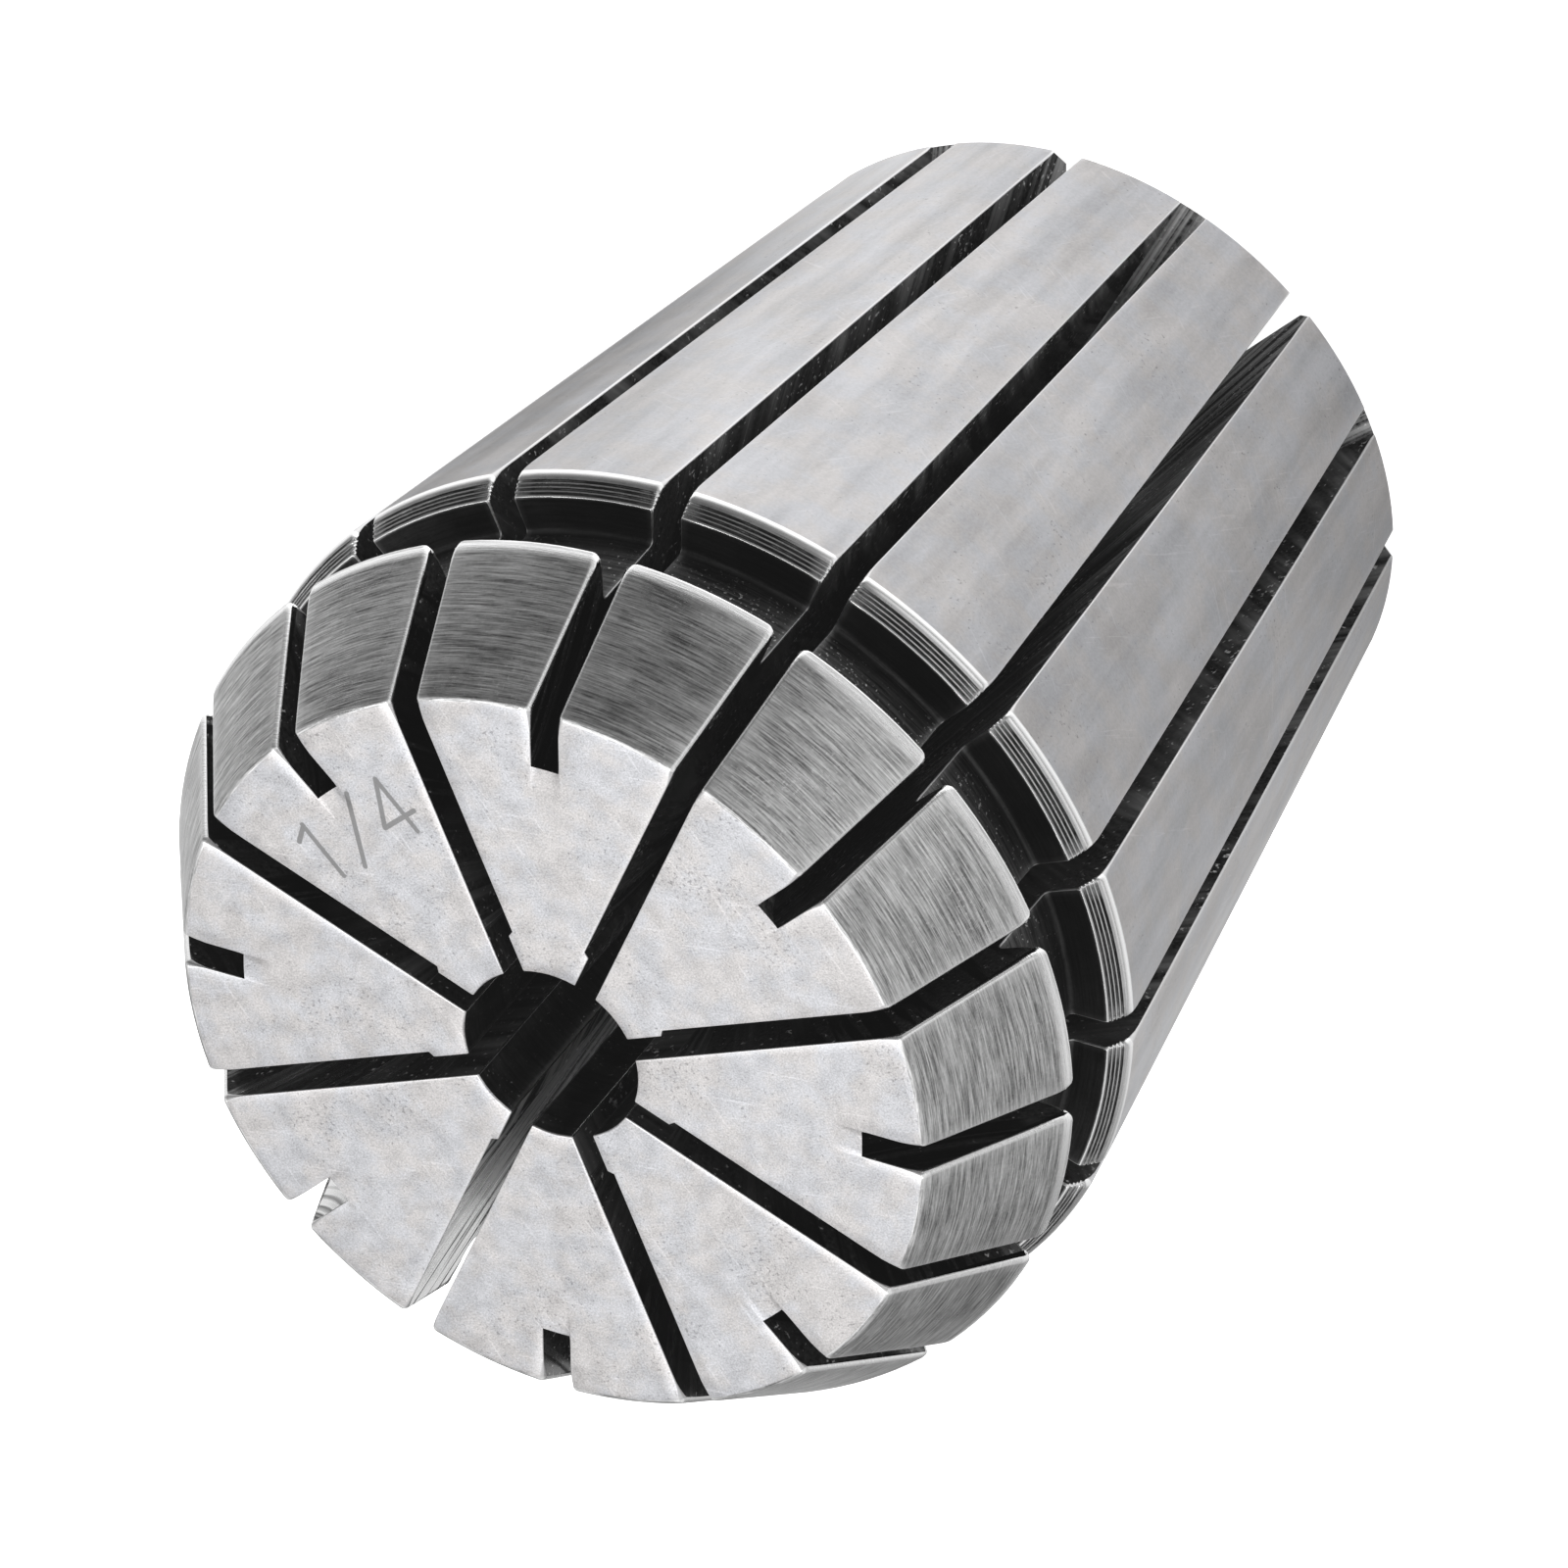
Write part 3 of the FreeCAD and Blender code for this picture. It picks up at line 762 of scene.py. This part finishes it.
# Steps of a petal's rounded edge, from the wall (step 0) to the skin
def addEdgeVertices(row, rowIndex, angle, sign, key, openRows):
    roundness = edgeRoundness(row)
    ramp = 0.0
    if rowIndex in openRows:
        ramp = rampShares[min(openRows[rowIndex], len(rampShares) - 1)]
    else:
        key = noKey
    made = []
    for step in range(collet["edgeSteps"] + 1):
        turn = math.pi / 2 * step / collet["edgeSteps"]
        aside = roundness * (ramp * (1 - math.cos(turn)) + (1 - ramp) * step / collet["edgeSteps"])
        point = row["at"] - row["out"] * roundness * ramp * (1 - math.sin(turn))
        shine = collet["edgeShine"].get(row["finish"], 1.0)
        wearSheenShade = max(row["wearSheenShade"], edgeWearSheen[step] * ramp * shine)
        made.append(addSlotVertex(angle, sign * (half + aside), point.x, point.y, key, wearSheenShade))
    return made


gapAsides = (-0.5 * half, 0.0, 0.5 * half)


# One row of the sector: front gap, petal A, rear gap, petal B, as lists of vertices
def buildRow(rowIndex):
    row = rows[rowIndex]
    point = row["at"]
    frontClosed = rowIndex not in frontOpen or frontOpen[rowIndex] == 0
    rearClosed = rowIndex not in rearOpen or rearOpen[rowIndex] == 0
    middle = pitchAngle / 2
    borders = {
        "aFront": addEdgeVertices(row, rowIndex, 0.0, 1, wallKeys["after"], frontOpen),
        "aRear": addEdgeVertices(row, rowIndex, middle, -1, wallKeys["before"], rearOpen),
        "bRear": addEdgeVertices(row, rowIndex, middle, 1, wallKeys["after"], rearOpen),
        "bFront": addEdgeVertices(row, rowIndex, pitchAngle, -1, wallKeys["beforeNext"], frontOpen),
    }
    built = {"borders": borders}
    reach = math.asin((half + edgeRoundness(row)) / point.x)
    for petal, startAngle, left, right in (("petalA", 0.0, "aFront", "aRear"),
                                           ("petalB", middle, "bRear", "bFront")):
        first, last = startAngle + reach, startAngle + middle - reach
        inner = []
        for column in range(1, collet["petalColumns"] + 1):
            angle = first + (last - first) * column / (collet["petalColumns"] + 1)
            inner.append(addSlotVertex(angle, 0.0, point.x, point.y, wearSheenShade=row["wearSheenShade"]))
        built[petal] = borders[left] + inner + list(reversed(borders[right]))
    if frontClosed:
        key = wallKeys["before"] if rowIndex in frontOpen else noKey
        built["frontGap"] = ([addSlotVertex(0.0, -half, point.x, point.y, key)]
                             + [addSlotVertex(0.0, aside, point.x, point.y) for aside in gapAsides]
                             + [borders["aFront"][0]])
    if rearClosed:
        built["rearGap"] = ([borders["aRear"][0]]
                            + [addSlotVertex(middle, aside, point.x, point.y) for aside in gapAsides]
                            + [borders["bRear"][0]])
    return built


faces, faceFinishes = [], []


# Adds a face turned so that it points the given way out of the steel
def addFace(corners, outward, finish):
    points = [vertices[corner] for corner in corners]
    normal = Vector((0, 0, 0))
    for here, there in zip(points, points[1:] + points[:1]):
        normal += here.cross(there)
    faces.append(corners if normal.dot(outward) > 0 else list(reversed(corners)))
    faceFinishes.append(finishNames.index(finish))


grid = [buildRow(index) for index in range(len(rows))]


def addSkin():
    count = len(rows)
    for index in range(count):
        above = (index + 1) % count
        for part in ("frontGap", "petalA", "rearGap", "petalB"):
            if part not in grid[index] or part not in grid[above]:
                continue
            if part == "frontGap" and index in frontOpen and above in frontOpen:
                continue
            if part == "rearGap" and index in rearOpen and above in rearOpen:
                continue
            here, there = grid[index][part], grid[above][part]
            for column in range(len(here) - 1):
                faces.append([there[column], there[column + 1], here[column + 1], here[column]])
                faceFinishes.append(finishNames.index(rows[index]["finish"]))


# Side view of a slot's floor from the bore to where the saw leaves the steel, ends left out
def floorLine(height, way, leaveRadius):
    size = collet
    points = [Vector((size["cutEnd"], height)), Vector((size["slotFloor"], height))]
    sweep = math.acos(1 - (leaveRadius - size["slotFloor"]) / size["sawRadius"])
    for step in range(1, size["arcSteps"]):
        turn = sweep * step / size["arcSteps"]
        points.append(Vector((size["slotFloor"] + size["sawRadius"] * (1 - math.cos(turn)),
                              height + way * size["sawRadius"] * math.sin(turn))))
    return points


def addFloor(line, startRow, endRow, angle, part, sawHeight, endFacing):
    columns = [-half, *gapAsides, half]
    keys = [wallKeys["before"], *[noKey] * len(gapAsides), wallKeys["after"]]
    strips = [grid[startRow][part]]
    for point in line:
        strips.append([addSlotVertex(angle, aside, point.x, point.y, key)
                       for aside, key in zip(columns, keys)])
    strips.append(grid[endRow][part])
    turn = Vector((math.cos(angle), math.sin(angle), 0))
    sawAxis = turn * (collet["slotFloor"] + collet["sawRadius"])
    sawCentre = (sawAxis + Vector((0, 0, sawHeight))) * millimetre
    for number, (here, there) in enumerate(zip(strips, strips[1:])):
        for column in range(len(columns) - 1):
            corners = [here[column], here[column + 1], there[column + 1], there[column]]
            outward = endFacing if number < 2 else sawCentre - vertices[here[column]]
            addFace(corners, outward, "floor")
    return strips


def rowsBetween(first, last):
    count = len(rows)
    return [(first + step) % count for step in range((last - first) % count + 1)]


def addFrontWall(border, floorCorners, outward):
    column = {index: grid[index]["borders"][border][0] for index in frontOpen}
    narrow = [column[index] for index in rowsBetween(rowNamed("frontEnd"), rowNamed("faceCutEnd"))]
    wide = [column[index] for index in rowsBetween(rowNamed("faceFloor"), rowNamed("leave"))]
    addFace(narrow + [floorCorners[0]], outward, "wall")
    addFace([narrow[-1], wide[0], floorCorners[1], floorCorners[0]], outward, "wall")
    addFace(wide + list(reversed(floorCorners[1:])), outward, "wall")


def addRearWall(border, floorCorners, outward):
    column = {index: grid[index]["borders"][border][0] for index in rearOpen}
    wide = [column[index] for index in rowsBetween(rowNamed("notch"), rowNamed("coneFloor"))]
    narrow = [column[index] for index in rowsBetween(rowNamed("coneCutEnd"), rowNamed("rearEnd"))]
    addFace(wide + floorCorners[1:], outward, "wall")
    addFace([wide[-1], narrow[0], floorCorners[0], floorCorners[1]], outward, "wall")
    addFace(narrow + [floorCorners[0]], outward, "wall")


def addSlots():
    size = collet
    middle = pitchAngle / 2
    frontLine = floorLine(size["frontSlotEnd"], -1, rows[rowNamed("leave")]["at"].x)
    rearLine = floorLine(size["rearSlotEnd"], 1, size["notchRadius"])
    frontFloor = addFloor(frontLine, rowNamed("frontEnd"), rowNamed("leave"), 0.0, "frontGap",
                          size["frontSlotEnd"], Vector((0, 0, 1)))
    rearFloor = addFloor(rearLine, rowNamed("rearEnd"), rowNamed("notch"), middle, "rearGap",
                         size["rearSlotEnd"], Vector((0, 0, -1)))

    def across(angle):
        return Vector((-math.sin(angle), math.cos(angle), 0))

    addFrontWall("aFront", [strip[-1] for strip in frontFloor[1:-1]], -across(0.0))
    addRearWall("aRear", [strip[0] for strip in rearFloor[1:-1]], across(middle))
    addRearWall("bRear", [strip[-1] for strip in rearFloor[1:-1]], -across(middle))
    farFloor = [addSlotVertex(pitchAngle, -half, point.x, point.y, wallKeys["beforeNext"])
                for point in frontLine]
    addFrontWall("bFront", farFloor, across(pitchAngle))


def makeSector():
    addSkin()
    addSlots()
    mesh = bpy.data.meshes.new("colletSector")
    mesh.from_pydata(vertices, [], faces)
    mesh.attributes.new("stepMove", "FLOAT_VECTOR", "POINT").data.foreach_set(
        "vector", [part for move in stepMoves for part in move])
    mesh.attributes.new("stepKey", "INT", "POINT").data.foreach_set("value", stepKeys)
    mesh.attributes.new("wearSheenShade", "FLOAT", "POINT").data.foreach_set("value", wearSheenShades)
    mesh.attributes.new("finish", "INT", "FACE").data.foreach_set("value", faceFinishes)
    mesh.shade_smooth()
    return mesh


# Turns the sector round the axis, makes the stepped walls and gives each face its finish
def makeColletTree():
    tree = bpy.data.node_groups.new("colletFromSector", "GeometryNodeTree")
    tree.is_modifier = True
    sockets = {}
    for label, kind, value in (("Sector", "Geometry", None), ("Sectors", "Int", collet["sectors"]),
                               ("Stepped Walls", "Int", collet["steppedWalls"]),
                               ("Step Width", "Float", collet["step"] * millimetre),
                               ("Merge Distance", "Float", collet["mergeDistance"] * millimetre)):
        socket = tree.interface.new_socket(label, in_out="INPUT", socket_type="NodeSocket" + kind)
        if value is not None:
            socket.default_value = value
        sockets[label] = socket.identifier
    for finish in finishNames:
        socket = tree.interface.new_socket(finish.title() + " Finish", in_out="INPUT",
                                           socket_type="NodeSocketMaterial")
        sockets[finish] = socket.identifier
    tree.interface.new_socket("Collet", in_out="OUTPUT", socket_type="NodeSocketGeometry")

    given = addNode(tree, "NodeGroupInput").outputs
    asInstance = addNode(tree, "GeometryNodeGeometryToInstance", {0: given["Sector"]})
    copies = addNode(tree, "GeometryNodeDuplicateElements", {
        "Geometry": asInstance.outputs[0], "Amount": given["Sectors"]}, domain="INSTANCE")
    numbered = addNode(tree, "GeometryNodeStoreNamedAttribute", {
        "Geometry": copies.outputs["Geometry"], "Name": "sector",
        "Value": copies.outputs["Duplicate Index"]}, domain="INSTANCE", data_type="INT")

    def stored(name, kind="INT"):
        return addNode(tree, "GeometryNodeInputNamedAttribute", {"Name": name},
                       data_type=kind).outputs["Attribute"]

    pitch = mathNode(tree, "DIVIDE", 2 * math.pi, given["Sectors"])
    turn = times(tree, stored("sector"), pitch)
    turned = addNode(tree, "GeometryNodeRotateInstances", {
        "Instances": numbered.outputs["Geometry"], "Rotation": joinXYZ(tree, z=turn)})
    joined = addNode(tree, "GeometryNodeRealizeInstances", {0: turned.outputs[0]})

    place = mathNode(tree, "MODULO", plus(tree, stored("sector"), stored("stepKey")), given["Sectors"])
    early = mathNode(tree, "LESS_THAN", place, given["Stepped Walls"])
    keyed = mathNode(tree, "GREATER_THAN", stored("stepKey"), noKey + 0.5)
    move = addNode(tree, "ShaderNodeVectorRotate", {
        "Vector": stored("stepMove", "FLOAT_VECTOR"), "Angle": turn}, rotation_type="Z_AXIS")
    offset = scaled(tree, move.outputs[0], times(tree, early, keyed, given["Step Width"]))
    shaped = addNode(tree, "GeometryNodeSetPosition", {"Geometry": joined.outputs[0], "Offset": offset})
    result = addNode(tree, "GeometryNodeMergeByDistance", {
        "Geometry": shaped.outputs[0], "Distance": given["Merge Distance"]}).outputs[0]
    finishNumber = stored("finish")
    for index, finish in enumerate(finishNames):
        chosen = addNode(tree, "FunctionNodeCompare", {2: finishNumber, 3: index},
                         data_type="INT", operation="EQUAL")
        result = addNode(tree, "GeometryNodeSetMaterial", {
            "Geometry": result, "Selection": chosen.outputs[0],
            "Material": given[finish.title() + " Finish"]}).outputs[0]
    output = addNode(tree, "NodeGroupOutput")
    tree.links.new(result, output.inputs[0])
    return tree, sockets


# Keeps the slots' edges crisp and the flat faces flat
def settleShading(piece):
    mesh = piece.data
    mesh.set_sharp_from_angle(angle=math.radians(collet["sharpAngle"]))
    sawn = [material in (finishes["wall"], finishes["floor"]) for material in mesh.materials]
    edgeFaces = {}
    for polygon in mesh.polygons:
        for key in polygon.edge_keys:
            edgeFaces.setdefault(key, []).append(sawn[polygon.material_index])
    sharp = [edge.use_edge_sharp or len(set(edgeFaces[edge.key])) > 1 for edge in mesh.edges]
    mesh.edges.foreach_set("use_edge_sharp", sharp)
    modifier = piece.modifiers.new("weighted normals", "WEIGHTED_NORMAL")
    modifier.keep_sharp = True
    bakeModifiers(piece)


def makeCollet():
    piece = newPiece("collet_dressed", makeSector())
    tree, sockets = makeColletTree()
    modifier = piece.modifiers.new("collet from sector", "NODES")
    modifier.node_group = tree
    for finish, material in finishes.items():
        modifier[sockets[finish]] = material
    baked = bakeModifiers(piece)
    for name in ("sector", "stepKey", "stepMove", "finish"):
        if name in baked.attributes:
            baked.attributes.remove(baked.attributes[name])
    settleShading(piece)
    return piece


colletPiece = makeCollet()
finishPiece(colletPiece)
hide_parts("collet")
print("collet faces:", len(colletPiece.data.polygons), "vertices:", len(colletPiece.data.vertices))

# Floor, lights and camera: places in metres, turns in degrees. darkSpots: dark patches of painted shade on
# the floor, as x, y, radius, grey
floorSettings = {
    "size": 6.0, "below": 0.00002, "roughness": 0.9, "near": 0.85, "far": 0.3, "fade": (0.06, 0.26),
    "cameraLift": 0.95, "glow": 0.85, "glowAzimuth": 82, "glowPower": 2.4, "glowFade": (0.02, 0.12),
    "darkSpots": ((-0.024, 0.006, 0.022, 0.45), (-0.006, -0.1, 0.07, 0.2)), "spotCore": 0.4,
}
lightSettings = {
    "softbox over the face": {"azimuth": 214.7, "elevation": 46, "distance": 1.0, "size": (0.95, 0.95),
                              "glow": 0.17},
    "overhead softbox": {"azimuth": 200, "elevation": 76, "distance": 0.5, "size": (0.4, 0.4),
                         "glow": 1.9},
}
worldSettings = {
    "surround": 0.72, "dark": 0.16, "darkAzimuth": 95, "darkPointing": (0.2, 0.9),
    "card": (28, 13), "cardPointing": (0.9, 0.985), "cardGlow": 0.28,
}
cameraSettings = {
    "aim": (0, 0, 0.02288), "azimuth": 34.73, "elevation": 46.96, "distance": 0.53427,
    "roll": -139.22, "lens": 366.62, "sensor": 36.0, "clip": (0.01, 50),
}


def makeFloor():
    settings = floorSettings
    reach = settings["size"] / 2
    mesh = bpy.data.meshes.new("floor")
    mesh.from_pydata([(-reach, -reach, 0), (reach, -reach, 0), (reach, reach, 0), (-reach, reach, 0)],
                     [], [(0, 1, 2, 3)])
    floor = newPiece("floor", mesh)
    material, tree, shader = newMaterial("plain floor", metallic=0.0, roughness=settings["roughness"])
    place = addNode(tree, "ShaderNodeTexCoord").outputs["Object"]
    distance = vectorNode(tree, "LENGTH", place, output="Value")
    shade = mixColour(tree, mapRange(tree, distance, *settings["fade"]),
                      grey(settings["near"]), grey(settings["far"]))
    # a light table: it glows on one side of the collet, and evenly as far as the camera sees it
    toward = pointing(tree, vectorNode(tree, "NORMALIZE", place), settings["glowAzimuth"])
    side = mathNode(tree, "POWER", mapRange(tree, toward, -1.0, 1.0), settings["glowPower"])
    # painted shade: dark patches on the floor, which the collet reflects; the floor's glow is cut there too
    for x, y, radius, dark in settings["darkSpots"]:
        away = vectorNode(tree, "DISTANCE", place, (x, y, 0), output="Value")
        spot = mapRange(tree, away, radius, radius * settings["spotCore"])
        shade = mixColour(tree, spot, shade, grey(dark))
        side = times(tree, side, minus(tree, 1.0, spot))
    tree.links.new(shade, shader.inputs["Base Color"])
    near = mapRange(tree, distance, *settings["glowFade"], settings["glow"], 0.0)
    seen = addNode(tree, "ShaderNodeLightPath").outputs["Is Camera Ray"]
    hidden = times(tree, minus(tree, 1.0, seen), side, near)
    shader.inputs["Emission Color"].default_value = grey(1.0)
    tree.links.new(plus(tree, times(tree, seen, settings["cameraLift"]), hidden),
                   shader.inputs["Emission Strength"])
    mesh.materials.append(material)
    floor.location.z = -settings["below"]


def makeLights():
    for name, settings in lightSettings.items():
        data = bpy.data.lights.new(name, "AREA")
        data.shape = "RECTANGLE"
        data.size, data.size_y = settings["size"]
        data.energy = settings["glow"] * math.pi * data.size * data.size_y
        lamp = bpy.data.objects.new(name, data)
        direction = heading(settings["azimuth"], settings["elevation"])
        lamp.location = direction * settings["distance"]
        lamp.rotation_euler = (-direction).to_track_quat("-Z", "Y").to_euler()
        bpy.context.scene.collection.objects.link(lamp)


# Even studio surround, darker on one side of the collet, with a small white card
def makeWorld():
    settings = worldSettings
    world = bpy.data.worlds.new("studio")
    bpy.context.scene.world = world
    world.use_nodes = True
    tree = world.node_tree
    direction = addNode(tree, "ShaderNodeTexCoord").outputs["Generated"]
    shade = mapRange(tree, pointing(tree, direction, settings["darkAzimuth"]), *settings["darkPointing"],
                     settings["surround"], settings["dark"])
    card = mapRange(tree, pointing(tree, direction, *settings["card"]), *settings["cardPointing"],
                    0.0, settings["cardGlow"])
    shade = plus(tree, shade, card)
    background = tree.nodes["Background"]
    tree.links.new(joinXYZ(tree, shade, shade, shade), background.inputs["Color"])
    background.inputs["Strength"].default_value = 1.0


def makeCamera():
    settings = cameraSettings
    data = bpy.data.cameras.new("photo camera")
    data.lens, data.sensor_width = settings["lens"], settings["sensor"]
    data.clip_start, data.clip_end = settings["clip"]
    camera = bpy.data.objects.new("photo camera", data)
    aim = Vector(settings["aim"])
    camera.location = aim + heading(settings["azimuth"], settings["elevation"]) * settings["distance"]
    look = (aim - camera.location).to_track_quat("-Z", "Y").to_matrix()
    camera.rotation_euler = (look @ Matrix.Rotation(math.radians(settings["roll"]), 3, "Z")).to_euler()
    bpy.context.scene.collection.objects.link(camera)
    bpy.context.scene.camera = camera


makeFloor()
makeLights()
makeWorld()
makeCamera()
print("floor, lights and camera placed")
